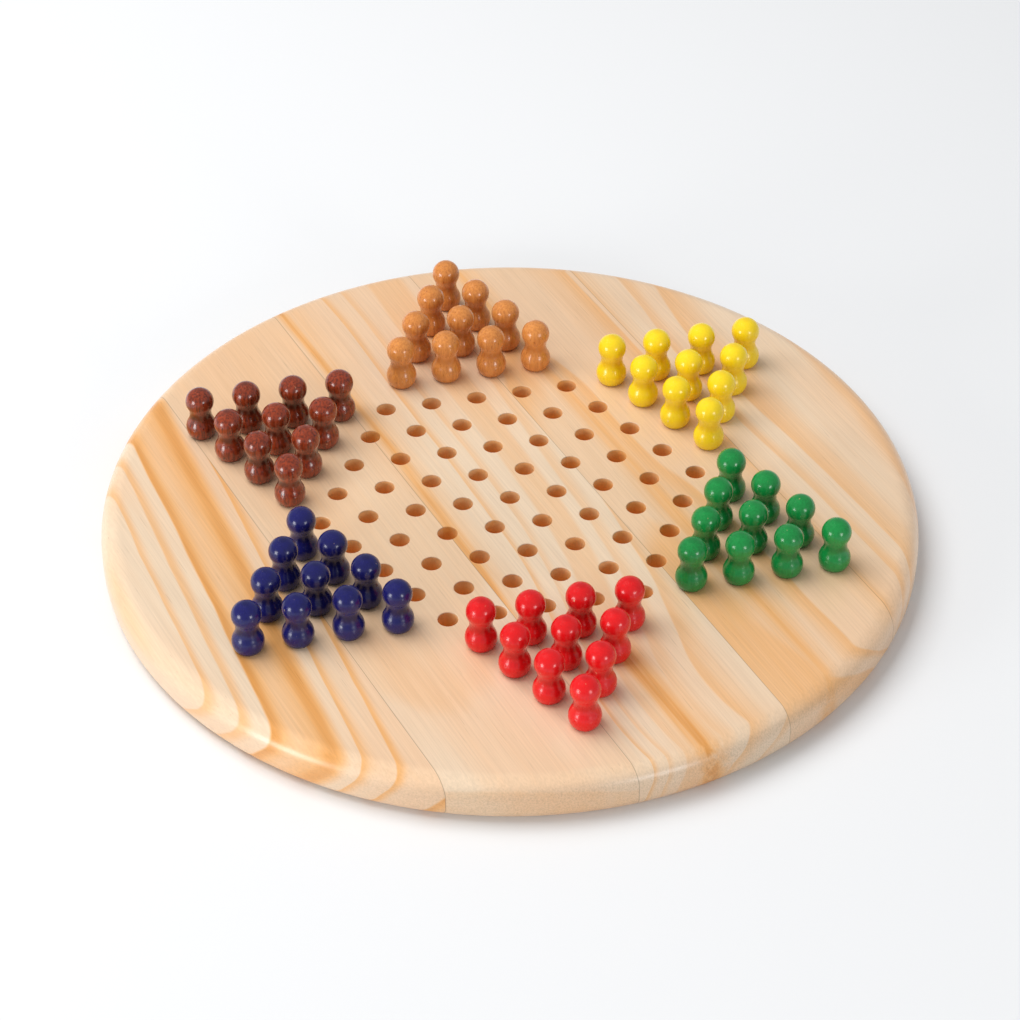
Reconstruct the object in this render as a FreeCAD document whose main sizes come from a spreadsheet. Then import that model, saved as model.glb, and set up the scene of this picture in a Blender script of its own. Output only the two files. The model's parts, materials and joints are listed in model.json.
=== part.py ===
"""Chinese checkers board: a round panel of five glued staves with 121 peg holes, and 60 turned pegs.

The frame stands on the board's underside, at the middle of the disc: +Z up, +X along the rows of holes,
+Y towards the yellow point of the star.  All sizes are millimetres.
"""

import FreeCAD, Part
import math
import os

import Sketcher

SHEET_NAME = "Dimensions"

# alias, value, meaning
DIMENSIONS = [
    ("pitch", 17.0, "distance between neighbouring holes"),
    ("board_radius", 145.0, "radius of the round board"),
    ("board_thickness", 16.0, "thickness of the board"),
    ("top_edge_radius", 7.0, "rounding of the rim's upper edge"),
    ("bottom_edge_radius", 5.0, "rounding of the rim's lower edge"),
    ("hole_radius", 3.5, "radius of a peg hole"),
    ("hole_depth", 9.0, "depth of a peg hole, which is blind"),
    ("depth_step", 0.02, "how much shallower each hole of the open field is than the one before it"),
    ("stem_clearance", 0.5, "gap around a peg's stem in its hole"),
    ("stem_length", 8.0, "length of the stem below the peg's foot"),
    ("stem_chamfer", 0.6, "bevel at the stem's tip"),
    ("foot_radius", 5.65, "radius of the ball that forms the peg's foot"),
    ("foot_height", 3.6, "height of the foot's widest ring above the board"),
    ("head_radius", 5.2, "radius of the peg's ball head"),
    ("head_height", 14.9, "height of the head's middle above the board"),
    ("waist_radius", 6.55, "hollow radius of the waist between foot and head"),
]

# The glue lines run three and a half steps along a row for each row they drop.  In that direction they
# pass either through the middle of a hole or clear of its wall, and the staves come out equally wide.
STAVE_COUNT = 5
GRAIN_ANGLE = "-atan(sqrt(3) / 7)"
STAVE_WIDTH = f"{SHEET_NAME}.pitch * 7 * sqrt(3 / 13)"

# A hole's place on the lattice is (half steps along the row, rows up), counted from the middle hole.
FIELD_REACH = 4
HOME_ROWS = range(5, 9)
HOMES = ["yellow", "orange", "brown", "blue", "red", "green"]  # anticlockwise from +Y
PAIR = (8, 9)  # the two pegs of a home's third row share one node


def field_places():
    """The open hexagon in the middle: nine rows of five to nine holes."""
    places = []
    for up in range(-FIELD_REACH, FIELD_REACH + 1):
        reach = 2 * FIELD_REACH - abs(up)
        places += [(along, up) for along in range(-reach, reach + 1, 2)]
    return places


def turned(place, sixths):
    """A place of the lattice turned anticlockwise by so many sixths of a turn."""
    along, up = place
    for _ in range(sixths):
        along, up = (along - 3 * up) // 2, (along + up) // 2
    return along, up


def home_places(sixths):
    """The ten holes of one point of the star, from its row of four out to its tip."""
    places = []
    for up in HOME_ROWS:
        reach = HOME_ROWS[-1] - up
        places += [(along, up) for along in range(-reach, reach + 1, 2)]
    return [turned(place, sixths) for place in places]


def place_expressions(place):
    """Expressions for a place's X and Y."""
    along, up = place
    return f"{SHEET_NAME}.pitch * {along} / 2", f"{SHEET_NAME}.pitch * sqrt(3) / 2 * {up}"


def make_sheet(doc):
    sheet = doc.addObject("Spreadsheet::Sheet", SHEET_NAME)
    for row, (alias, value, meaning) in enumerate(DIMENSIONS, start=1):
        sheet.set(f"A{row}", meaning)
        sheet.set(f"B{row}", str(value))
        sheet.setAlias(f"B{row}", alias)
    doc.recompute()
    return sheet


def origin_plane(body, role):
    return next(plane for plane in body.Origin.OriginFeatures if plane.Role == role)


def new_sketch(body, name, role):
    sketch = body.newObject("Sketcher::SketchObject", name)
    sketch.AttachmentSupport = [(origin_plane(body, role), "")]
    sketch.MapMode = "FlatFace"
    return sketch


def bind(sketch, kind, elements, expression):
    """Add a driving dimension of a sketch and tie it to an expression."""
    value = float(sketch.evalExpression(expression))
    index = sketch.addConstraint(Sketcher.Constraint(kind, *elements, value))
    sketch.setExpression(f"Constraints[{index}]", expression)


def point(across, height):
    return FreeCAD.Vector(across, height, 0)


def arc(centre, radius, start, end):
    """An arc from one angle to another, anticlockwise, in radians."""
    circle = Part.Circle(centre, FreeCAD.Vector(0, 0, 1), radius)
    return Part.ArcOfCircle(circle, start, end)


def revolve(body, sketch, name):
    feature = body.newObject("PartDesign::Revolution", name)
    feature.Profile = sketch
    feature.ReferenceAxis = (sketch, ["V_Axis"])
    feature.Angle = 360
    return feature


def rim_profile(body, sheet):
    """Half the board's section: flat faces joined by a rim with rounded edges."""
    sketch = new_sketch(body, "board_section", "XZ_Plane")
    rim, top = sheet.board_radius, sheet.board_thickness
    upper, lower = sheet.top_edge_radius, sheet.bottom_edge_radius
    under, low_arc, side, high_arc, face, axis = sketch.addGeometry(
        [
            Part.LineSegment(point(0, 0), point(rim - lower, 0)),
            arc(point(rim - lower, lower), lower, -math.pi / 2, 0),
            Part.LineSegment(point(rim, lower), point(rim, top - upper)),
            arc(point(rim - upper, top - upper), upper, 0, math.pi / 2),
            Part.LineSegment(point(rim - upper, top), point(0, top)),
            Part.LineSegment(point(0, top), point(0, 0)),
        ],
        False,
    )
    sketch.addConstraint(
        [
            Sketcher.Constraint("Coincident", under, 1, -1, 1),
            Sketcher.Constraint("Horizontal", under),
            Sketcher.Constraint("Tangent", under, 2, low_arc, 1),
            Sketcher.Constraint("Tangent", low_arc, 2, side, 1),
            Sketcher.Constraint("Vertical", side),
            Sketcher.Constraint("Tangent", side, 2, high_arc, 1),
            Sketcher.Constraint("Tangent", high_arc, 2, face, 1),
            Sketcher.Constraint("Horizontal", face),
            Sketcher.Constraint("Coincident", face, 2, axis, 1),
            Sketcher.Constraint("Coincident", axis, 2, under, 1),
            Sketcher.Constraint("Vertical", axis),
        ]
    )
    bind(sketch, "Radius", (low_arc,), f"{SHEET_NAME}.bottom_edge_radius")
    bind(sketch, "Radius", (high_arc,), f"{SHEET_NAME}.top_edge_radius")
    bind(sketch, "DistanceX", (-1, 1, side, 1), f"{SHEET_NAME}.board_radius")
    bind(sketch, "DistanceY", (-1, 1, face, 2), f"{SHEET_NAME}.board_thickness")
    return sketch


def hole_layout(body, sheet, places):
    """One circle for each hole, on the board's upper face."""
    sketch = new_sketch(body, "hole_layout", "XY_Plane")
    sketch.setExpression("AttachmentOffset.Base.z", f"{SHEET_NAME}.board_thickness")
    circles = []
    for along, up in places:
        middle = point(sheet.pitch * along / 2, sheet.pitch * math.sqrt(3) / 2 * up)
        circles.append(Part.Circle(middle, FreeCAD.Vector(0, 0, 1), sheet.hole_radius))
    rings = sketch.addGeometry(circles, False)
    first = rings[0]
    bind(sketch, "Radius", (first,), f"{SHEET_NAME}.hole_radius")
    sketch.addConstraint([Sketcher.Constraint("Equal", first, ring) for ring in rings[1:]])
    for ring, place in zip(rings, places):
        across, up = place_expressions(place)
        bind(sketch, "DistanceX", (-1, 1, ring, 3), across)
        bind(sketch, "DistanceY", (-1, 1, ring, 3), up)
    return sketch


def drill_field(doc, blank, places):
    """Drill the open field, each hole blind and a little shallower than the last, about the nominal depth."""
    bits = []
    for number, place in enumerate(places):
        across, up = place_expressions(place)
        ahead = (len(places) - 1) / 2 - number
        depth = f"({SHEET_NAME}.hole_depth + {SHEET_NAME}.depth_step * {ahead})"
        bit = doc.addObject("Part::Cylinder", f"bit_{number + 1}")
        bit.setExpression("Radius", f"{SHEET_NAME}.hole_radius")
        bit.setExpression("Height", depth)
        bit.setExpression("Placement.Base.x", across)
        bit.setExpression("Placement.Base.y", up)
        bit.setExpression("Placement.Base.z", f"{SHEET_NAME}.board_thickness - {depth}")
        bits.append(bit)
    drill = doc.addObject("Part::Compound", "field_drill")
    drill.Links = bits
    drilled = doc.addObject("Part::Cut", "drilled_blank")
    drilled.Base, drilled.Tool = blank, drill
    return drilled


def make_blank(doc, sheet, places):
    """The glued panel, turned round, with the holes of the star's points drilled."""
    body = doc.addObject("PartDesign::Body", "board_blank")
    disc = revolve(body, rim_profile(body, sheet), "turned_disc")
    doc.recompute()
    holes = body.newObject("PartDesign::Pocket", "drilled_holes")
    holes.Profile = hole_layout(body, sheet, places)
    holes.setExpression("Length", f"{SHEET_NAME}.hole_depth")
    body.Tip = holes
    doc.recompute()
    removed = disc.Shape.Volume - body.Shape.Volume
    expected = len(places) * math.pi * sheet.hole_radius**2 * sheet.hole_depth
    if abs(removed - expected) > 0.001 * expected:
        raise RuntimeError(f"the holes removed {removed:.0f} mm3, not {expected:.0f} mm3")
    return body


def make_stave(doc, blank, number):
    """The strip of the blank that one stave fills, counted from the blue point's side."""
    strip = doc.addObject("Part::Box", f"strip_{number}")
    reach = f"{SHEET_NAME}.board_radius"
    inner_edges = [f"({STAVE_WIDTH}) * {edge - STAVE_COUNT / 2}" for edge in range(1, STAVE_COUNT)]
    edges = [f"-{reach}"] + inner_edges + [reach]
    near, far = edges[number - 1], edges[number]
    strip.setExpression("Length", f"2 * {reach}")
    strip.setExpression("Width", f"{far} - {near}")
    strip.setExpression("Height", f"{SHEET_NAME}.board_thickness")
    strip.Placement.Rotation.Axis = FreeCAD.Vector(0, 0, 1)
    strip.setExpression("Placement.Rotation.Angle", GRAIN_ANGLE)
    turn_cos, turn_sin = f"cos({GRAIN_ANGLE})", f"sin({GRAIN_ANGLE})"
    strip.setExpression("Placement.Base.x", f"-{reach} * {turn_cos} - ({near}) * {turn_sin}")
    strip.setExpression("Placement.Base.y", f"-{reach} * {turn_sin} + ({near}) * {turn_cos}")
    stave = doc.addObject("Part::Common", f"stave_{number}")
    stave.Base = blank
    stave.Tool = strip
    return stave


def peg_profile(body, sheet):
    """Half a peg's section: a bevelled stem, a ball foot cut flat where it stands, a waist and a ball head."""
    sketch = new_sketch(body, f"{body.Name}_section", "XZ_Plane")
    stem = sheet.hole_radius - sheet.stem_clearance
    tip, bevel = -sheet.stem_length, sheet.stem_chamfer
    foot, foot_at = sheet.foot_radius, sheet.foot_height
    head, head_at = sheet.head_radius, sheet.head_height
    sole = math.sqrt(foot**2 - foot_at**2)
    # the waist's circle touches both balls, which places its middle
    to_foot, to_head, apart = foot + sheet.waist_radius, head + sheet.waist_radius, head_at - foot_at
    rise = (to_foot**2 - to_head**2 + apart**2) / (2 * apart)
    away = math.sqrt(to_foot**2 - rise**2)
    foot_slope = math.atan2(rise, away)
    head_slope = math.atan2(rise - apart, away)
    end, chamfer, side, under, foot_arc, waist_arc, head_arc, axis = sketch.addGeometry(
        [
            Part.LineSegment(point(0, tip), point(stem - bevel, tip)),
            Part.LineSegment(point(stem - bevel, tip), point(stem, tip + bevel)),
            Part.LineSegment(point(stem, tip + bevel), point(stem, 0)),
            Part.LineSegment(point(stem, 0), point(sole, 0)),
            arc(point(0, foot_at), foot, -math.asin(foot_at / foot), foot_slope),
            arc(
                point(away, foot_at + rise),
                sheet.waist_radius,
                math.pi + head_slope,
                math.pi + foot_slope,
            ),
            arc(point(0, head_at), head, head_slope, math.pi / 2),
            Part.LineSegment(point(0, head_at + head), point(0, tip)),
        ],
        False,
    )
    upright = -2
    sketch.addConstraint(
        [
            Sketcher.Constraint("PointOnObject", end, 1, upright),
            Sketcher.Constraint("Horizontal", end),
            Sketcher.Constraint("Coincident", end, 2, chamfer, 1),
            Sketcher.Constraint("Coincident", chamfer, 2, side, 1),
            Sketcher.Constraint("Vertical", side),
            Sketcher.Constraint("Coincident", side, 2, under, 1),
            Sketcher.Constraint("PointOnObject", under, 1, -1),
            Sketcher.Constraint("Horizontal", under),
            Sketcher.Constraint("Coincident", under, 2, foot_arc, 1),
            Sketcher.Constraint("PointOnObject", foot_arc, 3, upright),
            Sketcher.Constraint("Tangent", foot_arc, 2, waist_arc, 2),
            Sketcher.Constraint("Tangent", waist_arc, 1, head_arc, 1),
            Sketcher.Constraint("PointOnObject", head_arc, 3, upright),
            Sketcher.Constraint("PointOnObject", head_arc, 2, upright),
            Sketcher.Constraint("Coincident", head_arc, 2, axis, 1),
            Sketcher.Constraint("Coincident", axis, 2, end, 1),
        ]
    )
    stem_radius = f"{SHEET_NAME}.hole_radius - {SHEET_NAME}.stem_clearance"
    bind(sketch, "DistanceX", (-1, 1, side, 2), stem_radius)
    bind(sketch, "DistanceY", (end, 1, -1, 1), f"{SHEET_NAME}.stem_length")
    bind(sketch, "DistanceX", (chamfer, 1, chamfer, 2), f"{SHEET_NAME}.stem_chamfer")
    bind(sketch, "DistanceY", (chamfer, 1, chamfer, 2), f"{SHEET_NAME}.stem_chamfer")
    bind(sketch, "Radius", (foot_arc,), f"{SHEET_NAME}.foot_radius")
    bind(sketch, "DistanceY", (-1, 1, foot_arc, 3), f"{SHEET_NAME}.foot_height")
    bind(sketch, "Radius", (waist_arc,), f"{SHEET_NAME}.waist_radius")
    bind(sketch, "Radius", (head_arc,), f"{SHEET_NAME}.head_radius")
    bind(sketch, "DistanceY", (-1, 1, head_arc, 3), f"{SHEET_NAME}.head_height")
    return sketch


def make_peg(doc, sheet, name, place):
    """A turned peg standing in its hole, its foot on the board's upper face."""
    body = doc.addObject("PartDesign::Body", name)
    revolve(body, peg_profile(body, sheet), f"{name}_turning")
    across, up = place_expressions(place)
    body.setExpression("Placement.Base.x", across)
    body.setExpression("Placement.Base.y", up)
    body.setExpression("Placement.Base.z", f"{SHEET_NAME}.board_thickness")
    return body


def make_home(doc, sheet, colour, places):
    """A point's ten pegs.  Returns the sub-parts, in which two pegs are joined as a pair."""
    pegs = {
        number: make_peg(doc, sheet, f"{colour}_peg_{number}", place)
        for number, place in enumerate(places, start=1)
    }
    pair = doc.addObject("Part::Compound", f"{colour}_peg_pair_{PAIR[0]}_{PAIR[1]}")
    pair.Links = [pegs.pop(number) for number in PAIR]
    return list(pegs.values()) + [pair]


def check(doc, sub_parts):
    """Stop before anything is written if a feature failed or a sub-part isn't a sound solid."""
    for item in doc.Objects:
        if "Invalid" in item.State or "Error" in item.State:
            raise RuntimeError(f"{item.Label} failed: {item.State}")
    for item in sub_parts:
        if item.Shape.isNull() or not item.Shape.isValid() or item.Shape.Volume <= 0:
            raise RuntimeError(f"{item.Label} has no sound shape")


def main():
    doc = FreeCAD.newDocument("ChineseCheckers")
    sheet = make_sheet(doc)
    homes = {colour: home_places(sixths) for sixths, colour in enumerate(HOMES)}
    field = field_places()
    disc = make_blank(doc, sheet, [place for home in homes.values() for place in home])
    blank = drill_field(doc, disc, field)
    doc.recompute()
    removed = disc.Shape.Volume - blank.Shape.Volume
    expected = len(field) * math.pi * sheet.hole_radius**2 * sheet.hole_depth
    if abs(removed - expected) > 0.001 * expected:
        raise RuntimeError(f"the field's holes removed {removed:.0f} mm3, not {expected:.0f} mm3")
    sub_parts = [make_stave(doc, blank, number) for number in range(1, STAVE_COUNT + 1)]
    for colour, home in homes.items():
        sub_parts += make_home(doc, sheet, colour, home)
    for item in sub_parts:
        item.Label = item.Name
    doc.recompute()
    check(doc, sub_parts)
    os.makedirs("parts", exist_ok=True)
    for item in sub_parts:
        item.Shape.exportStep(f"parts/{item.Label}.step")
        solids = len(item.Shape.Solids)
        print(f"{item.Label}: {solids} solid(s), {item.Shape.Volume:.0f} mm3")


main()
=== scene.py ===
"""Looks for the chinese checkers board: five pine staves, drilled holes and sixty turned, lacquered pegs."""

import json
import math
import random

import bmesh
import bpy
from mathutils import Matrix, Vector


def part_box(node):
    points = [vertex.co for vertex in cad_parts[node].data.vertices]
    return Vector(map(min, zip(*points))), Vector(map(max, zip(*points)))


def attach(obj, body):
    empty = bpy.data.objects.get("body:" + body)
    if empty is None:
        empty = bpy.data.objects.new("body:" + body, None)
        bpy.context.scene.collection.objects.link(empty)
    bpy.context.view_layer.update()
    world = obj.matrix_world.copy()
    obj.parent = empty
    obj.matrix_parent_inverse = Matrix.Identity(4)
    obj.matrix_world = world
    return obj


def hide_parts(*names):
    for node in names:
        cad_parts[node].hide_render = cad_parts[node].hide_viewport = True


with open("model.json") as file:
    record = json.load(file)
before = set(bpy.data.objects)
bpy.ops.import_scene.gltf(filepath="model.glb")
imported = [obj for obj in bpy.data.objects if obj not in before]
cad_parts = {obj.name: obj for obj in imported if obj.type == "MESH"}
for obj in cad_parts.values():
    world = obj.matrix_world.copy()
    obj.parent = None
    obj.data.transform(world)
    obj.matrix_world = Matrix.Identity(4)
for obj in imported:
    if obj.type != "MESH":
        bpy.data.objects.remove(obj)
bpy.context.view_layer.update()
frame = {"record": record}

MM = 0.001

# ---------------------------------------------------------------------------------------------------
# Sizes, read from the frame where it holds them
# ---------------------------------------------------------------------------------------------------

MOUNTS = {mount["name"]: mount for mount in frame["record"]["mounts"]}
MIDDLE_HOLE = MOUNTS["hole_row5_5"]
PITCH = (Vector(MIDDLE_HOLE["pos_m"]) - Vector(MOUNTS["hole_row5_4"]["pos_m"])).length
HOLE_RADIUS = MIDDLE_HOLE["dims"]["r_mm"] * MM
HOLE_DEPTH = MIDDLE_HOLE["dims"]["length_mm"] * MM
BOARD_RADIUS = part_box("stave_3")[1].x
BOARD_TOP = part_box("stave_3")[1].z
UPPER_ROUND, LOWER_ROUND = 7 * MM, 5 * MM

PEG_LOW, PEG_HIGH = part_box("blue_peg_1")
STEM_LENGTH = BOARD_TOP - PEG_LOW.z
PEG_HEIGHT = PEG_HIGH.z - BOARD_TOP
STEM_RADIUS = 3.0 * MM
FOOT_RADIUS, FOOT_HEIGHT = 5.65 * MM, 3.6 * MM
HEAD_RADIUS = 5.2 * MM
HEAD_HEIGHT = PEG_HEIGHT - HEAD_RADIUS
WAIST_RADIUS = 6.55 * MM

# the waist's circle touches both balls, which places its middle
_TO_FOOT, _TO_HEAD = FOOT_RADIUS + WAIST_RADIUS, HEAD_RADIUS + WAIST_RADIUS
_APART = HEAD_HEIGHT - FOOT_HEIGHT
_RISE = (_TO_FOOT**2 - _TO_HEAD**2 + _APART**2) / (2 * _APART)
_AWAY = math.sqrt(_TO_FOOT**2 - _RISE**2)
WAIST_CENTRE = (_AWAY, FOOT_HEIGHT + _RISE)
WAIST_HEIGHT = WAIST_CENTRE[1]
WAIST_TO_FOOT = math.degrees(math.atan2(_RISE, _AWAY))
WAIST_TO_HEAD = math.degrees(math.atan2(_RISE - _APART, _AWAY))

GRAIN_ANGLE = -math.atan(math.sqrt(3) / 7)
STAVE_WIDTH = PITCH * 7 * math.sqrt(3 / 13)
STAVE_COUNT = 5

FIELD_REACH = 4
HOME_ROWS = range(5, 9)
HOMES = ["yellow", "orange", "brown", "blue", "red", "green"]  # anticlockwise from +Y
PAIR = (8, 9)

rng = random.Random(61)


# ---------------------------------------------------------------------------------------------------
# Where the holes and pegs are
# ---------------------------------------------------------------------------------------------------


def field_places():
    """The open hexagon in the middle, as (half steps along the row, rows up)."""
    places = []
    for up in range(-FIELD_REACH, FIELD_REACH + 1):
        reach = 2 * FIELD_REACH - abs(up)
        places += [(along, up) for along in range(-reach, reach + 1, 2)]
    return places


def turned(place, sixths):
    """A place turned anticlockwise by so many sixths of a turn."""
    along, up = place
    for _ in range(sixths):
        along, up = (along - 3 * up) // 2, (along + up) // 2
    return along, up


def home_places(sixths):
    """The ten places of one point of the star, from its row of four out to its tip."""
    places = []
    for up in HOME_ROWS:
        reach = HOME_ROWS[-1] - up
        places += [(along, up) for along in range(-reach, reach + 1, 2)]
    return [turned(place, sixths) for place in places]


def on_board(place):
    along, up = place
    return Vector((PITCH * along / 2, PITCH * math.sqrt(3) / 2 * up, BOARD_TOP))


# ---------------------------------------------------------------------------------------------------
# Mesh helpers
# ---------------------------------------------------------------------------------------------------


def arc(centre, radius, start, end, steps):
    """Points of an arc in a section, from one angle to another in degrees."""
    across, height = centre
    angles = [math.radians(start + (end - start) * step / steps) for step in range(steps + 1)]
    return [(across + radius * math.cos(a), height + radius * math.sin(a)) for a in angles]


def spin_section(bm, section, steps):
    """Turn a section of (radius, height) points round the Z axis."""
    points = [bm.verts.new((across, 0, height)) for across, height in section]
    lines = [bm.edges.new(ends) for ends in zip(points, points[1:])]
    bmesh.ops.spin(
        bm,
        geom=points + lines,
        cent=(0, 0, 0),
        axis=(0, 0, 1),
        angle=2 * math.pi,
        steps=steps,
        use_merge=True,
    )
    bmesh.ops.remove_doubles(bm, verts=bm.verts[:], dist=0.001 * MM)


def new_piece(name, bm, materials, body, nodes, sharp_degrees=35):
    """Store a bmesh as a finished piece that rides on a body and stands for its CAD nodes."""
    mesh = bpy.data.meshes.new(name)
    bm.to_mesh(mesh)
    bm.free()
    for material in materials:
        mesh.materials.append(material)
    mesh.shade_smooth()
    mesh.set_sharp_from_angle(angle=math.radians(sharp_degrees))
    piece = bpy.data.objects.new(name, mesh)
    bpy.context.scene.collection.objects.link(piece)
    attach(piece, body)
    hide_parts(*nodes)
    return piece


# ---------------------------------------------------------------------------------------------------
# Node helpers
# ---------------------------------------------------------------------------------------------------


def node(tree, kind, inputs=None, **settings):
    """Add a node.  Inputs are values, or sockets to link from."""
    made = tree.nodes.new(kind)
    for name, value in settings.items():
        setattr(made, name, value)
    for name, value in (inputs or {}).items():
        socket = made.inputs[name]
        if isinstance(value, bpy.types.NodeSocket):
            tree.links.new(value, socket)
        else:
            socket.default_value = value
    return made


def math_node(tree, operation, *values):
    return node(tree, "ShaderNodeMath", dict(enumerate(values)), operation=operation).outputs[0]


def vector_math(tree, operation, *values):
    made = node(tree, "ShaderNodeVectorMath", dict(enumerate(values)), operation=operation)
    return made.outputs["Value" if operation in ("LENGTH", "DOT_PRODUCT") else "Vector"]


def ramp(tree, value, low, high, from_value=0.0, to_value=1.0):
    """Smooth step of a value from one limit to the other."""
    made = node(
        tree,
        "ShaderNodeMapRange",
        {"Value": value, "From Min": low, "From Max": high, "To Min": from_value, "To Max": to_value},
        interpolation_type="SMOOTHSTEP",
    )
    return made.outputs["Result"]


def bell(tree, value, width):
    """One where the value is nought, falling away smoothly on both sides."""
    value = math_node(tree, "DIVIDE", value, width)
    square = math_node(tree, "MULTIPLY", value, value)
    return math_node(tree, "EXPONENT", math_node(tree, "MULTIPLY", square, -1.0))


def noise(tree, vector, scale, detail=2.0, roughness=0.5, distortion=0.0):
    made = node(
        tree,
        "ShaderNodeTexNoise",
        {
            "Vector": vector,
            "Scale": scale,
            "Detail": detail,
            "Roughness": roughness,
            "Distortion": distortion,
        },
    )
    return made.outputs["Fac"]


def mix_colour(tree, factor, first, second, blend="MIX"):
    made = tree.nodes.new("ShaderNodeMix")
    made.data_type = "RGBA"
    made.blend_type = blend
    for index, value in ((0, factor), (6, first), (7, second)):
        socket = made.inputs[index]
        if isinstance(value, bpy.types.NodeSocket):
            tree.links.new(value, socket)
        else:
            socket.default_value = value
    return made.outputs[2]


def stretched(tree, vector, scale):
    return vector_math(tree, "MULTIPLY", vector, scale)


def rgba(red, green, blue):
    return (red, green, blue, 1.0)


def new_group(name, inputs, outputs):
    """A shader node group.  Inputs are (name, kind, default); outputs are (name, kind)."""
    group = bpy.data.node_groups.new(name, "ShaderNodeTree")
    for label, kind, default in inputs:
        socket = group.interface.new_socket(label, in_out="INPUT", socket_type=f"NodeSocket{kind}")
        if default is not None:
            socket.default_value = default
    for label, kind in outputs:
        group.interface.new_socket(label, in_out="OUTPUT", socket_type=f"NodeSocket{kind}")
    return group, group.nodes.new("NodeGroupInput").outputs, group.nodes.new("NodeGroupOutput")


def use_group(tree, group, **values):
    made = tree.nodes.new("ShaderNodeGroup")
    made.node_tree = group
    for name, value in values.items():
        socket = made.inputs[name.replace("_", " ")]
        if isinstance(value, bpy.types.NodeSocket):
            tree.links.new(value, socket)
        else:
            socket.default_value = value
    return made.outputs


def new_material(name):
    material = bpy.data.materials.new(name)
    material.use_nodes = True
    return material, material.node_tree, material.node_tree.nodes["Principled BSDF"]


# ---------------------------------------------------------------------------------------------------
# Pine
# ---------------------------------------------------------------------------------------------------


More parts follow.
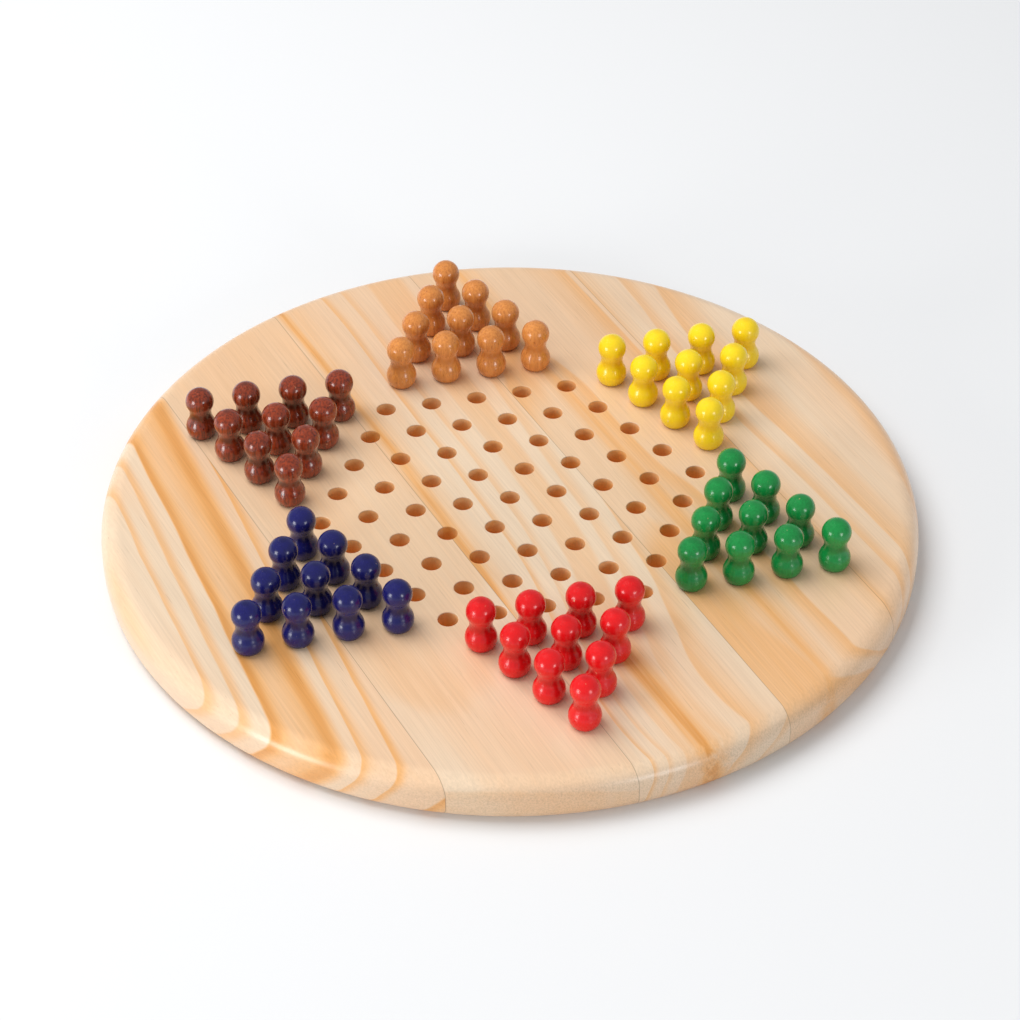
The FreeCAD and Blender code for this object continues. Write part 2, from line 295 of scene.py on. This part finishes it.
def make_pine_group():
    """Pine sawn from a log.  The rings run through the wood, so faces, rim and hole walls agree."""
    group, given, out = new_group(
        "pine",
        [
            ("Position", "Vector", None),  # metres along the grain, across it, and up
            ("Facing", "Vector", None),  # the surface's normal in the same axes
            ("Heart Across", "Float", 0.0),
            ("Heart Depth", "Float", -0.05),
            ("Heart Drift", "Float", 0.0),
            ("Heart Dive", "Float", 0.0),
            ("Ring Width", "Float", 0.01),
            ("Wander", "Float", 0.004),
            ("Contrast", "Float", 0.8),
            ("Seed", "Float", 0.0),
            ("Pale", "Color", rgba(0.77, 0.587, 0.41)),
            ("Late", "Color", rgba(0.78, 0.36, 0.085)),
            ("Streak Across", "Float", 0.0),
            ("Streak Width", "Float", 0.004),
            ("Streak Strength", "Float", 0.0),
            ("Flare Across", "Float", 0.0),
            ("Flare Width", "Float", 0.004),
            ("Flare Start", "Float", 0.0),
            ("Flare Strength", "Float", 0.0),
            ("Swirl Along", "Float", 0.0),
            ("Swirl Across", "Float", 0.0),
            ("Swirl Reach", "Float", 0.03),
            ("Swirl Push", "Float", 0.0),
            ("Low Joint", "Float", -1.0),
            ("High Joint", "Float", 1.0),
        ],
        [("Colour", "Color"), ("Roughness", "Float"), ("Height", "Float")],
    )
    seed = node(group, "ShaderNodeCombineXYZ", {axis: given["Seed"] for axis in "XYZ"})
    seeded = vector_math(group, "ADD", given["Position"], seed.outputs[0])

    # the log isn't straight: a slow wander, a fine wobble, and a swirl where a branch once grew
    wander_at = stretched(group, seeded, (5, 14, 14))
    wobble_at = stretched(group, seeded, (28, 110, 110))
    wander = node(group, "ShaderNodeTexNoise", {"Vector": wander_at, "Scale": 1.0})
    wobble = node(group, "ShaderNodeTexNoise", {"Vector": wobble_at, "Scale": 1.0})
    slow = vector_math(group, "SUBTRACT", wander.outputs["Color"], (0.5, 0.5, 0.5))
    quick = vector_math(group, "SUBTRACT", wobble.outputs["Color"], (0.5, 0.5, 0.5))
    slow = node(group, "ShaderNodeVectorMath", {0: slow, "Scale": given["Wander"]}, operation="SCALE")
    quick = vector_math(group, "MULTIPLY", quick, (0.0012, 0.0012, 0.0012))
    bent = vector_math(group, "ADD", vector_math(group, "ADD", given["Position"], slow.outputs[0]), quick)
    bent = node(group, "ShaderNodeSeparateXYZ", {0: bent})
    along, across, up = bent.outputs["X"], bent.outputs["Y"], bent.outputs["Z"]

    swirl_x = math_node(group, "SUBTRACT", along, given["Swirl Along"])
    swirl_y = math_node(group, "SUBTRACT", across, given["Swirl Across"])
    swirl_x = math_node(group, "MULTIPLY", swirl_x, 0.55)
    swirl = node(group, "ShaderNodeCombineXYZ", {"X": swirl_x, "Y": swirl_y})
    swirl = bell(group, vector_math(group, "LENGTH", swirl.outputs[0]), given["Swirl Reach"])
    across = math_node(group, "ADD", across, math_node(group, "MULTIPLY", swirl, given["Swirl Push"]))

    heart_across = math_node(
        group, "ADD", given["Heart Across"], math_node(group, "MULTIPLY", along, given["Heart Drift"])
    )
    heart_depth = math_node(
        group, "ADD", given["Heart Depth"], math_node(group, "MULTIPLY", along, given["Heart Dive"])
    )
    from_heart = node(
        group,
        "ShaderNodeCombineXYZ",
        {
            "Y": math_node(group, "SUBTRACT", across, heart_across),
            "Z": math_node(group, "SUBTRACT", up, heart_depth),
        },
    )
    radius = vector_math(group, "LENGTH", from_heart.outputs[0])
    years = math_node(group, "DIVIDE", radius, given["Ring Width"])
    seasons = node(
        group,
        "ShaderNodeTexNoise",
        {"W": math_node(group, "ADD", years, given["Seed"]), "Scale": 0.7, "Detail": 1.0},
        noise_dimensions="1D",
    )
    years = math_node(group, "ADD", years, math_node(group, "MULTIPLY", seasons.outputs["Fac"], 1.6))
    year = math_node(group, "FLOOR", years)
    season = math_node(group, "FRACT", years)
    tone = node(
        group,
        "ShaderNodeTexWhiteNoise",
        {"W": math_node(group, "ADD", year, given["Seed"])},
        noise_dimensions="1D",
    ).outputs["Value"]
    rising = ramp(group, season, 0.30, 0.90)
    falling = ramp(group, season, 0.91, 1.0, 1.0, 0.0)
    late = math_node(group, "MULTIPLY", math_node(group, "POWER", rising, 1.25), falling)
    strength = math_node(group, "ADD", math_node(group, "MULTIPLY", tone, 0.45), 0.55)
    late = math_node(group, "MULTIPLY", late, strength)

    # fine fibres along the grain, a broad change of tone, and short resin ducts
    fibres = noise(group, stretched(group, seeded, (26, 1500, 1500)), 1.0, detail=4.0, roughness=0.6)
    threads = noise(group, stretched(group, seeded, (9, 330, 330)), 1.0, detail=3.0)
    broad = noise(group, stretched(group, seeded, (6, 26, 26)), 1.0, detail=2.0)
    ducts = noise(group, stretched(group, seeded, (70, 2300, 2300)), 1.0, detail=1.0)
    ducts = ramp(group, ducts, 0.70, 0.78)

    streak = bell(group, math_node(group, "SUBTRACT", across, given["Streak Across"]), given["Streak Width"])
    streak = math_node(group, "MULTIPLY", streak, given["Streak Strength"])
    streak = math_node(group, "MULTIPLY", streak, ramp(group, threads, 0.25, 0.6, 0.55, 1.0))

    # resin that soaks in towards one end of a stave
    flare_at = math_node(group, "SUBTRACT", bent.outputs["Y"], given["Flare Across"])
    flare = bell(group, flare_at, given["Flare Width"])
    beyond = math_node(group, "SUBTRACT", along, given["Flare Start"])
    flare = math_node(group, "MULTIPLY", flare, ramp(group, beyond, 0.0, 0.025))
    flare = math_node(group, "MULTIPLY", flare, given["Flare Strength"])
    flare = math_node(group, "MULTIPLY", flare, ramp(group, threads, 0.25, 0.6, 0.6, 1.0))

    amount = math_node(group, "MULTIPLY", late, given["Contrast"])
    amount = math_node(group, "MAXIMUM", amount, math_node(group, "MAXIMUM", streak, flare))
    uneven = math_node(group, "MULTIPLY", math_node(group, "SUBTRACT", threads, 0.5), 0.22)
    amount = math_node(group, "ADD", amount, uneven)
    amount = node(group, "ShaderNodeClamp", {"Value": amount}).outputs[0]
    pale = mix_colour(group, ramp(group, broad, 0.35, 0.65), given["Pale"], rgba(0.785, 0.53, 0.333))
    colour = mix_colour(group, amount, pale, given["Late"])
    deep = ramp(group, amount, 0.72, 1.0, 0.0, 0.35)
    colour = mix_colour(group, deep, colour, rgba(0.50, 0.19, 0.05))
    shade = ramp(group, fibres, 0.2, 0.8, 0.90, 1.05)
    shade = math_node(group, "SUBTRACT", shade, math_node(group, "MULTIPLY", ducts, 0.16))

    # end grain soaks up more lacquer and shows darker
    end = node(group, "ShaderNodeSeparateXYZ", {0: given["Facing"]}).outputs["X"]
    end = ramp(group, math_node(group, "ABSOLUTE", end), 0.45, 0.98)
    pores = noise(group, stretched(group, seeded, (300, 1900, 1900)), 1.0, detail=2.0)
    pores = math_node(group, "MULTIPLY", ramp(group, pores, 0.4, 0.7), 0.14)
    end_shade = math_node(group, "SUBTRACT", 0.86, pores)
    shade = math_node(group, "MULTIPLY", shade, ramp(group, end, 0.0, 1.0, 1.0, end_shade))

    # a hairline of glue along each joint
    place = node(group, "ShaderNodeSeparateXYZ", {0: given["Position"]}).outputs["Y"]
    low = math_node(group, "ABSOLUTE", math_node(group, "SUBTRACT", place, given["Low Joint"]))
    high = math_node(group, "ABSOLUTE", math_node(group, "SUBTRACT", place, given["High Joint"]))
    glue = ramp(group, math_node(group, "MINIMUM", low, high), 0.00004, 0.00022, 0.62, 1.0)
    shade = math_node(group, "MULTIPLY", shade, glue)
    shade_colour = node(group, "ShaderNodeCombineXYZ", {"X": shade, "Y": shade, "Z": shade})
    colour = mix_colour(group, 1.0, colour, shade_colour.outputs[0], "MULTIPLY")

    rough = math_node(group, "ADD", 0.30, math_node(group, "MULTIPLY", fibres, 0.14))
    rough = math_node(group, "ADD", rough, math_node(group, "MULTIPLY", end, 0.08))
    relief = math_node(group, "MULTIPLY", fibres, 0.5)
    relief = math_node(group, "ADD", relief, math_node(group, "MULTIPLY", late, 0.5))
    relief = math_node(group, "SUBTRACT", relief, math_node(group, "MULTIPLY", ducts, 0.3))
    group.links.new(colour, out.inputs["Colour"])
    group.links.new(rough, out.inputs["Roughness"])
    group.links.new(relief, out.inputs["Height"])
    return group


def along_grain(tree):
    """Object coordinates and normal turned so that X runs along the staves."""
    place = tree.nodes.new("ShaderNodeTexCoord")
    turn = {"Rotation": (0.0, 0.0, -GRAIN_ANGLE)}
    turned_round = [
        node(tree, "ShaderNodeMapping", {"Vector": place.outputs[name], **turn}, vector_type="POINT")
        for name in ("Object", "Normal")
    ]
    return [mapping.outputs[0] for mapping in turned_round]


def bump(tree, height, strength, distance):
    made = node(tree, "ShaderNodeBump", {"Strength": strength, "Distance": distance, "Height": height})
    return made.outputs["Normal"]


def lacquered_pine(name, pine, **wood):
    """A stave's sanded faces under a thin satin lacquer."""
    material, tree, shader = new_material(name)
    position, facing = along_grain(tree)
    made = use_group(tree, pine, Position=position, Facing=facing, **wood)
    tree.links.new(made["Colour"], shader.inputs["Base Color"])
    tree.links.new(made["Roughness"], shader.inputs["Roughness"])
    tree.links.new(bump(tree, made["Height"], 0.35, 0.05 * MM), shader.inputs["Normal"])
    shader.inputs["Coat Weight"].default_value = 0.35
    shader.inputs["Coat Roughness"].default_value = 0.22
    return material


def drilled_pine(name, pine, **wood):
    """The same wood where the drill left it: bare, rougher and a warmer brown, with painted shade that
    deepens the brown towards the hole's floor.
    """
    material, tree, shader = new_material(name)
    position, facing = along_grain(tree)
    made = use_group(tree, pine, Position=position, Facing=facing, **wood)
    depth = node(tree, "ShaderNodeSeparateXYZ", {0: position}).outputs["Z"]
    # painted shade: the wall's colour turns a darker, warmer brown the deeper it lies in the hole
    painted_hole_shade = ramp(tree, depth, BOARD_TOP - HOLE_DEPTH, BOARD_TOP - 0.4 * MM, 0.92, 0.55)
    colour = mix_colour(tree, painted_hole_shade, made["Colour"], rgba(0.86, 0.40, 0.085))
    tree.links.new(colour, shader.inputs["Base Color"])
    shader.inputs["Roughness"].default_value = 0.7
    ridges = noise(tree, stretched(tree, position, (500, 500, 3500)), 1.0, detail=2.0)
    tree.links.new(bump(tree, ridges, 0.5, 0.12 * MM), shader.inputs["Normal"])
    return material


# Each stave came from its own board: where its log's heart lay, how wide the rings are and how strong the
# figure.  Counted from the blue point's side.  Lengths are metres in the staves' own axes.
JOINTS = [(edge - STAVE_COUNT / 2) * STAVE_WIDTH for edge in range(1, STAVE_COUNT)]
STAVES = [
    dict(
        Heart_Across=0.05, Heart_Depth=-0.09, Heart_Drift=-0.12, Ring_Width=0.0112, Wander=0.006,
        Contrast=1.0, Seed=3.1,
    ),
    dict(
        Heart_Across=-0.052, Heart_Depth=-0.16, Heart_Drift=0.02, Heart_Dive=-0.05, Ring_Width=0.017,
        Wander=0.012, Contrast=0.22, Seed=7.4,
    ),
    dict(
        Heart_Across=0.075, Heart_Depth=-0.045, Heart_Drift=0.05, Heart_Dive=0.08, Ring_Width=0.0105,
        Wander=0.010, Contrast=0.55, Seed=11.9,
        Streak_Across=-0.0258, Streak_Width=0.0036, Streak_Strength=0.95,
        Flare_Across=-0.0015, Flare_Width=0.0052, Flare_Start=0.070, Flare_Strength=1.0,
        Swirl_Along=0.118, Swirl_Across=-0.004, Swirl_Reach=0.034, Swirl_Push=0.018,
    ),
    dict(
        Heart_Across=0.035, Heart_Depth=-0.06, Heart_Drift=-0.08, Heart_Dive=0.06, Ring_Width=0.011,
        Wander=0.014, Contrast=0.72, Seed=17.3,
        Streak_Across=0.0465, Streak_Width=0.0042, Streak_Strength=0.7,
        Pale=rgba(0.77, 0.53, 0.33),
    ),
    dict(
        Heart_Across=0.155, Heart_Depth=-0.05, Heart_Drift=0.06, Heart_Dive=0.07, Ring_Width=0.0095,
        Wander=0.014, Contrast=0.62, Seed=23.8,
    ),
]


# ---------------------------------------------------------------------------------------------------
# Staves
# ---------------------------------------------------------------------------------------------------

RIM_STEPS = 288
HOLE_STEPS = 40
MOUTH_ROUND = 0.35 * MM
HOLDING_RING = 0.2 * MM  # a flat ring beside each rounded edge keeps the face's shading flat
HOLE_FLOOR = BOARD_TOP - HOLE_DEPTH


def hole_cup():
    """A blind hole with a softened mouth, open at the top, in a mesh of its own."""
    bm = bmesh.new()
    mouth = arc((HOLE_RADIUS + MOUTH_ROUND, BOARD_TOP - MOUTH_ROUND), MOUTH_ROUND, 180, 90, 4)
    wall = [(0, HOLE_FLOOR), (HOLE_RADIUS * 0.5, HOLE_FLOOR), (HOLE_RADIUS, HOLE_FLOOR)]
    flat = [(HOLE_RADIUS + MOUTH_ROUND + HOLDING_RING, BOARD_TOP)]
    spin_section(bm, wall + mouth + flat, HOLE_STEPS)
    for face in bm.faces:
        bare = face.calc_center_median().z < BOARD_TOP - MOUTH_ROUND
        face.material_index = 1 if bare else 0
    cup = bpy.data.meshes.new("hole_cup")
    bm.to_mesh(cup)
    bm.free()
    return cup


def blank_mesh(places):
    """The whole glued panel after turning and drilling, as one mesh."""
    bm = bmesh.new()
    upper = (BOARD_RADIUS - UPPER_ROUND, BOARD_TOP - UPPER_ROUND)
    lower = (BOARD_RADIUS - LOWER_ROUND, LOWER_ROUND)
    section = [(lower[0] - HOLDING_RING, 0)]
    section += arc(lower, LOWER_ROUND, -90, 0, 9)
    section += arc(upper, UPPER_ROUND, 0, 90, 12)
    section += [(upper[0] - HOLDING_RING, BOARD_TOP)]
    spin_section(bm, section, RIM_STEPS)
    cup = hole_cup()
    for place in places:
        old = set(bm.verts)
        bm.from_mesh(cup)
        new = [vert for vert in bm.verts if vert not in old]
        offset = on_board(place)
        bmesh.ops.translate(bm, verts=new, vec=(offset.x, offset.y, 0))
    open_edges = [edge for edge in bm.edges if edge.is_boundary]
    top_edges = [edge for edge in open_edges if edge.verts[0].co.z > BOARD_TOP / 2]
    low_edges = [edge for edge in open_edges if edge.verts[0].co.z < BOARD_TOP / 2]
    bmesh.ops.triangle_fill(bm, edges=top_edges, use_beauty=True, normal=(0, 0, 1))
    bmesh.ops.edgeloop_fill(bm, edges=low_edges)
    bmesh.ops.recalc_face_normals(bm, faces=bm.faces[:])
    bpy.data.meshes.remove(cup)
    blank = bpy.data.meshes.new("blank")
    bm.to_mesh(blank)
    bm.free()
    return blank


def cut_along_joint(bm, offset, keep_above):
    """Saw the mesh along a glue line and close the cut."""
    normal = Vector((-math.sin(GRAIN_ANGLE), math.cos(GRAIN_ANGLE), 0))
    cut = bmesh.ops.bisect_plane(
        bm,
        geom=bm.verts[:] + bm.edges[:] + bm.faces[:],
        dist=0.0001 * MM,
        plane_co=normal * offset,
        plane_no=normal,
        clear_inner=keep_above,
        clear_outer=not keep_above,
    )
    edges = [item for item in cut["geom_cut"] if isinstance(item, bmesh.types.BMEdge)]
    made = bmesh.ops.holes_fill(bm, edges=edges, sides=0)
    for face in made["faces"]:
        face.material_index = 0


def make_stave(number, blank, pine):
    """One stave of the board, cut out of the turned and drilled panel."""
    bm = bmesh.new()
    bm.from_mesh(blank)
    wood = dict(STAVES[number - 1])
    if number > 1:
        cut_along_joint(bm, JOINTS[number - 2], keep_above=True)
        wood["Low_Joint"] = JOINTS[number - 2]
    if number < STAVE_COUNT:
        cut_along_joint(bm, JOINTS[number - 1], keep_above=False)
        wood["High_Joint"] = JOINTS[number - 1]
    materials = [
        lacquered_pine(f"stave_{number}_lacquered", pine, **wood),
        drilled_pine(f"stave_{number}_drilled", pine, **wood),
    ]
    return new_piece(f"stave_{number}_wood", bm, materials, "board", [f"stave_{number}"])


# ---------------------------------------------------------------------------------------------------
# Lacquer
# ---------------------------------------------------------------------------------------------------


def make_lacquer_group():
    """Stained or painted lacquer on a turned peg.  Object coordinates: the pegs stand along Z."""
    group, given, out = new_group(
        "lacquer",
        [
            ("Position", "Vector", None),
            ("Main", "Color", rgba(0.5, 0.5, 0.5)),
            ("Deep", "Color", rgba(0.2, 0.2, 0.2)),
            ("Bare Wood", "Color", rgba(0.72, 0.50, 0.28)),
            ("Figure", "Float", 0.2),
            ("PaintedShade", "Float", 0.5),
            ("Wear", "Float", 0.6),
        ],
        [("Colour", "Color"), ("Roughness", "Float"), ("Height", "Float")],
    )
    position = given["Position"]
    height = node(group, "ShaderNodeSeparateXYZ", {0: position}).outputs["Z"]
    height = math_node(group, "SUBTRACT", height, BOARD_TOP)

    # beech under the colour: long vertical fibres and short flecks
    fibres = noise(group, stretched(group, position, (1300, 1300, 90)), 1.0, detail=3.0)
    flecks = noise(group, stretched(group, position, (2600, 2600, 520)), 1.0, detail=1.0)
    flecks = ramp(group, flecks, 0.62, 0.74)
    dips = noise(group, stretched(group, position, (42, 42, 12)), 1.0, detail=1.0)
    cloud = noise(group, stretched(group, position, (260, 260, 200)), 1.0, detail=3.0)
    figure = math_node(group, "MULTIPLY", ramp(group, fibres, 0.35, 0.68), 0.8)
    figure = math_node(group, "ADD", figure, flecks)
    figure = math_node(group, "MULTIPLY", figure, given["Figure"])

    # painted shade: the colour darkens in the waist, at the sole where the foot meets the board, and round
    # the crown
    waist = math_node(group, "ABSOLUTE", math_node(group, "SUBTRACT", height, WAIST_HEIGHT))
    waist = ramp(group, waist, 0.4 * MM, 2.6 * MM, 1.0, 0.0)
    sole = ramp(group, math_node(group, "ABSOLUTE", height), 0.2 * MM, 1.5 * MM, 0.8, 0.0)
    crown = ramp(group, height, PEG_HEIGHT - 0.5 * MM, PEG_HEIGHT - 0.05 * MM, 0.0, 0.7)
    painted_shade = math_node(group, "MAXIMUM", math_node(group, "MAXIMUM", waist, sole), crown)
    painted_shade = math_node(group, "MULTIPLY", painted_shade, ramp(group, cloud, 0.25, 0.7, 0.5, 1.0))
    painted_shade = math_node(group, "MULTIPLY", painted_shade, given["PaintedShade"])
    deep = math_node(group, "MAXIMUM", figure, painted_shade)
    deep = math_node(group, "ADD", deep, ramp(group, dips, 0.35, 0.65, -0.06, 0.10))
    deep = node(group, "ShaderNodeClamp", {"Value": deep}).outputs[0]
    colour = mix_colour(group, deep, given["Main"], given["Deep"])

    # the stem's end rubs bare against the holes
    rub = noise(group, stretched(group, position, (700, 700, 420)), 1.0, detail=4.0, roughness=0.65)
    low = ramp(group, height, -STEM_LENGTH, -STEM_LENGTH + 3.2 * MM, 0.62, 0.30)
    bare = ramp(group, math_node(group, "SUBTRACT", low, rub), -0.03, 0.06)
    bare = math_node(group, "MULTIPLY", bare, given["Wear"])
    colour = mix_colour(group, bare, colour, given["Bare Wood"])

    # the lathe leaves faint rings that the lacquer doesn't quite fill
    turning = node(group, "ShaderNodeTexNoise", {"W": height, "Scale": 2600.0}, noise_dimensions="1D")
    rough = math_node(group, "ADD", 0.20, math_node(group, "MULTIPLY", cloud, 0.14))
    rough = math_node(group, "ADD", rough, math_node(group, "MULTIPLY", bare, 0.35))
    relief = math_node(group, "MULTIPLY", turning.outputs["Fac"], 0.35)
    relief = math_node(group, "ADD", relief, math_node(group, "MULTIPLY", fibres, 0.40))
    relief = math_node(group, "ADD", relief, math_node(group, "MULTIPLY", cloud, 0.6))
    group.links.new(colour, out.inputs["Colour"])
    group.links.new(rough, out.inputs["Roughness"])
    group.links.new(relief, out.inputs["Height"])
    return group


def peg_lacquer(name, lacquer, coat, **finish):
    material, tree, shader = new_material(name)
    place = tree.nodes.new("ShaderNodeTexCoord")
    made = use_group(tree, lacquer, Position=place.outputs["Object"], **finish)
    tree.links.new(made["Colour"], shader.inputs["Base Color"])
    tree.links.new(made["Roughness"], shader.inputs["Roughness"])
    tree.links.new(bump(tree, made["Height"], 0.30, 0.05 * MM), shader.inputs["Normal"])
    shader.inputs["Specular IOR Level"].default_value = 0.2
    shader.inputs["Coat Weight"].default_value = coat
    shader.inputs["Coat Roughness"].default_value = 0.17
    return material


# each colour's shade setting is how strongly painted shade darkens its waist, sole and crown
LACQUERS = {
    "yellow": dict(
        coat=0.55, Main=rgba(0.91, 0.66, 0.012), Deep=rgba(0.72, 0.40, 0.006), Figure=0.16, PaintedShade=0.5,
    ),
    "orange": dict(
        coat=0.6, Main=rgba(0.68, 0.26, 0.061), Deep=rgba(0.34, 0.09, 0.016), Figure=0.5, PaintedShade=0.6,
    ),
    "brown": dict(
        coat=0.8, Main=rgba(0.29, 0.040, 0.010), Deep=rgba(0.028, 0.006, 0.004), Figure=0.75, PaintedShade=0.85,
    ),
    "blue": dict(
        coat=0.5, Main=rgba(0.009, 0.009, 0.105), Deep=rgba(0.004, 0.004, 0.028), Figure=0.25, PaintedShade=0.7,
    ),
    "red": dict(
        coat=0.45, Main=rgba(0.72, 0.008, 0.010), Deep=rgba(0.36, 0.003, 0.004), Figure=0.18, PaintedShade=0.6,
    ),
    "green": dict(
        coat=0.55, Main=rgba(0.008, 0.243, 0.048), Deep=rgba(0.003, 0.075, 0.016), Figure=0.3, PaintedShade=0.6,
    ),
}


# ---------------------------------------------------------------------------------------------------
# Pegs
# ---------------------------------------------------------------------------------------------------

PEG_STEPS = 40
EDGE_ROUND = 0.4 * MM
CROWN_FLAT = 0.5 * MM


def peg_section():
    """Half a peg: rounded stem end, flat sole, ball foot, waist, and ball head with a small flat crown."""
    stem = arc((STEM_RADIUS - EDGE_ROUND, EDGE_ROUND - STEM_LENGTH), EDGE_ROUND, -90, 0, 3)
    edge_at = math.sqrt((FOOT_RADIUS - EDGE_ROUND) ** 2 - (FOOT_HEIGHT - EDGE_ROUND) ** 2)
    edge_end = math.degrees(math.atan2(EDGE_ROUND - FOOT_HEIGHT, edge_at))
    edge = arc((edge_at, EDGE_ROUND), EDGE_ROUND, -90, edge_end, 2)
    foot = arc((0, FOOT_HEIGHT), FOOT_RADIUS, edge_end, WAIST_TO_FOOT, 8)
    waist = arc(WAIST_CENTRE, WAIST_RADIUS, 180 + WAIST_TO_FOOT, 180 + WAIST_TO_HEAD, 7)
    crown = math.degrees(math.acos(CROWN_FLAT / HEAD_RADIUS))
    head = arc((0, HEAD_HEIGHT), HEAD_RADIUS, WAIST_TO_HEAD, crown, 14)
    shaft = [(STEM_RADIUS, -STEM_LENGTH / 2), (STEM_RADIUS, 0)]
    return [(0, -STEM_LENGTH)] + stem + shaft + edge + foot + waist[1:] + head[1:] + [(0, head[-1][1])]


def turned_peg():
    bm = bmesh.new()
    spin_section(bm, peg_section(), PEG_STEPS)
    bmesh.ops.recalc_face_normals(bm, faces=bm.faces[:])
    turning = bpy.data.meshes.new("turned_peg")
    bm.to_mesh(turning)
    bm.free()
    return turning


def stand_peg(bm, turning, place):
    """Add a peg to the mesh.  No two are quite alike, and each has a little play in its hole."""
    old = set(bm.verts)
    bm.from_mesh(turning)
    new = [vert for vert in bm.verts if vert not in old]
    lean = math.radians(rng.uniform(0, 0.5))
    girth = rng.uniform(0.982, 1.0)
    size = Matrix.Diagonal((girth, girth, rng.uniform(0.986, 1.0), 1))
    twist = Matrix.Rotation(rng.uniform(0, 2 * math.pi), 4, "Z")
    tilt = Matrix.Rotation(lean, 4, "X")
    play = Vector((rng.uniform(-0.2, 0.2) * MM, rng.uniform(-0.2, 0.2) * MM, FOOT_RADIUS * math.sin(lean)))
    stand = Matrix.Translation(on_board(place) + play)
    bmesh.ops.transform(bm, matrix=stand @ twist @ tilt @ size, verts=new)


def make_home(colour, sixths, turning, lacquer):
    """The ten pegs of one point of the star, of which two share a piece."""
    finish = peg_lacquer(f"{colour}_lacquered_beech", lacquer, **LACQUERS[colour])
    places = dict(enumerate(home_places(sixths), 1))
    nodes = {f"{colour}_peg_{number}": [number] for number in places if number not in PAIR}
    nodes[f"{colour}_peg_pair_{PAIR[0]}_{PAIR[1]}"] = PAIR
    for name, numbers in nodes.items():
        bm = bmesh.new()
        for number in numbers:
            stand_peg(bm, turning, places[number])
        new_piece(f"{name}_turned", bm, [finish], name, [name])


# ---------------------------------------------------------------------------------------------------
# Floor, light and camera
# ---------------------------------------------------------------------------------------------------

FLOOR_RADIUS = 4.0
FLOOR_GAP = 0.1 * MM
VIEW_AZIMUTH, VIEW_ELEVATION = 48.0, 40.0  # degrees round from -Y, and above the board
VIEW_DISTANCE = 1.09
VIEW_LENS = 108.0
AIM = Vector((0, 0, 0.010))


def direction(azimuth, elevation):
    """Unit vector towards a viewer that stands round from -Y by the azimuth, both in degrees."""
    a, e = math.radians(azimuth), math.radians(elevation)
    return Vector((math.sin(a) * math.cos(e), -math.cos(a) * math.cos(e), math.sin(e)))


def facing(place, target):
    return (target - place).to_track_quat("-Z", "Y").to_euler()


def make_floor():
    bm = bmesh.new()
    bmesh.ops.create_circle(bm, cap_ends=True, segments=96, radius=FLOOR_RADIUS)
    bmesh.ops.translate(bm, verts=bm.verts[:], vec=(0, 0, -FLOOR_GAP))
    mesh = bpy.data.meshes.new("floor")
    bm.to_mesh(mesh)
    bm.free()
    floor = bpy.data.objects.new("floor", mesh)
    bpy.context.scene.collection.objects.link(floor)
    material, tree, shader = new_material("floor_paper")
    place = tree.nodes.new("ShaderNodeTexCoord")
    tooth = noise(tree, place.outputs["Object"], 900.0, detail=3.0)
    shader.inputs["Base Color"].default_value = rgba(0.80, 0.80, 0.80)
    shader.inputs["Roughness"].default_value = 0.85
    tree.links.new(bump(tree, tooth, 0.1, 0.1 * MM), shader.inputs["Normal"])
    mesh.materials.append(material)


def softbox(name, azimuth, elevation, distance, size, power, mirrored=True):
    """A square studio light that faces the board, and may or may not show in its gloss."""
    lamp = bpy.data.lights.new(name, "AREA")
    lamp.shape = "SQUARE"
    lamp.size = size
    lamp.energy = power
    light = bpy.data.objects.new(name, lamp)
    light.location = AIM + direction(azimuth, elevation) * distance
    light.rotation_euler = facing(light.location, AIM)
    light.visible_glossy = mirrored
    bpy.context.scene.collection.objects.link(light)


def make_lights():
    softbox("overhead", VIEW_AZIMUTH - 110, 62, 1.5, 1.1, 20, mirrored=False)
    softbox("front_left", VIEW_AZIMUTH - 53, 10, 1.4, 0.45, 7.5)
    softbox("front_right", VIEW_AZIMUTH + 36, 16, 1.4, 0.36, 4.5)
    world = bpy.data.worlds.new("studio")
    world.use_nodes = True
    background = world.node_tree.nodes["Background"]
    background.inputs["Color"].default_value = rgba(0.93, 0.96, 1.0)
    background.inputs["Strength"].default_value = 0.44
    bpy.context.scene.world = world


def make_camera():
    lens = bpy.data.cameras.new("camera")
    lens.lens = VIEW_LENS
    camera = bpy.data.objects.new("camera", lens)
    camera.location = AIM + direction(VIEW_AZIMUTH, VIEW_ELEVATION) * VIEW_DISTANCE
    camera.rotation_euler = facing(camera.location, AIM)
    bpy.context.scene.collection.objects.link(camera)
    bpy.context.scene.camera = camera


# ---------------------------------------------------------------------------------------------------
# Put it together
# ---------------------------------------------------------------------------------------------------

make_camera()
make_floor()
make_lights()
bpy.context.scene.view_settings.view_transform = "Standard"

pine_group = make_pine_group()
holes = field_places() + [place for sixths in range(len(HOMES)) for place in home_places(sixths)]
panel = blank_mesh(holes)
for stave_number in range(1, STAVE_COUNT + 1):
    make_stave(stave_number, panel, pine_group)
bpy.data.meshes.remove(panel)

lacquer_group = make_lacquer_group()
peg_turning = turned_peg()
for home_sixths, home_colour in enumerate(HOMES):
    make_home(home_colour, home_sixths, peg_turning, lacquer_group)
bpy.data.meshes.remove(peg_turning)
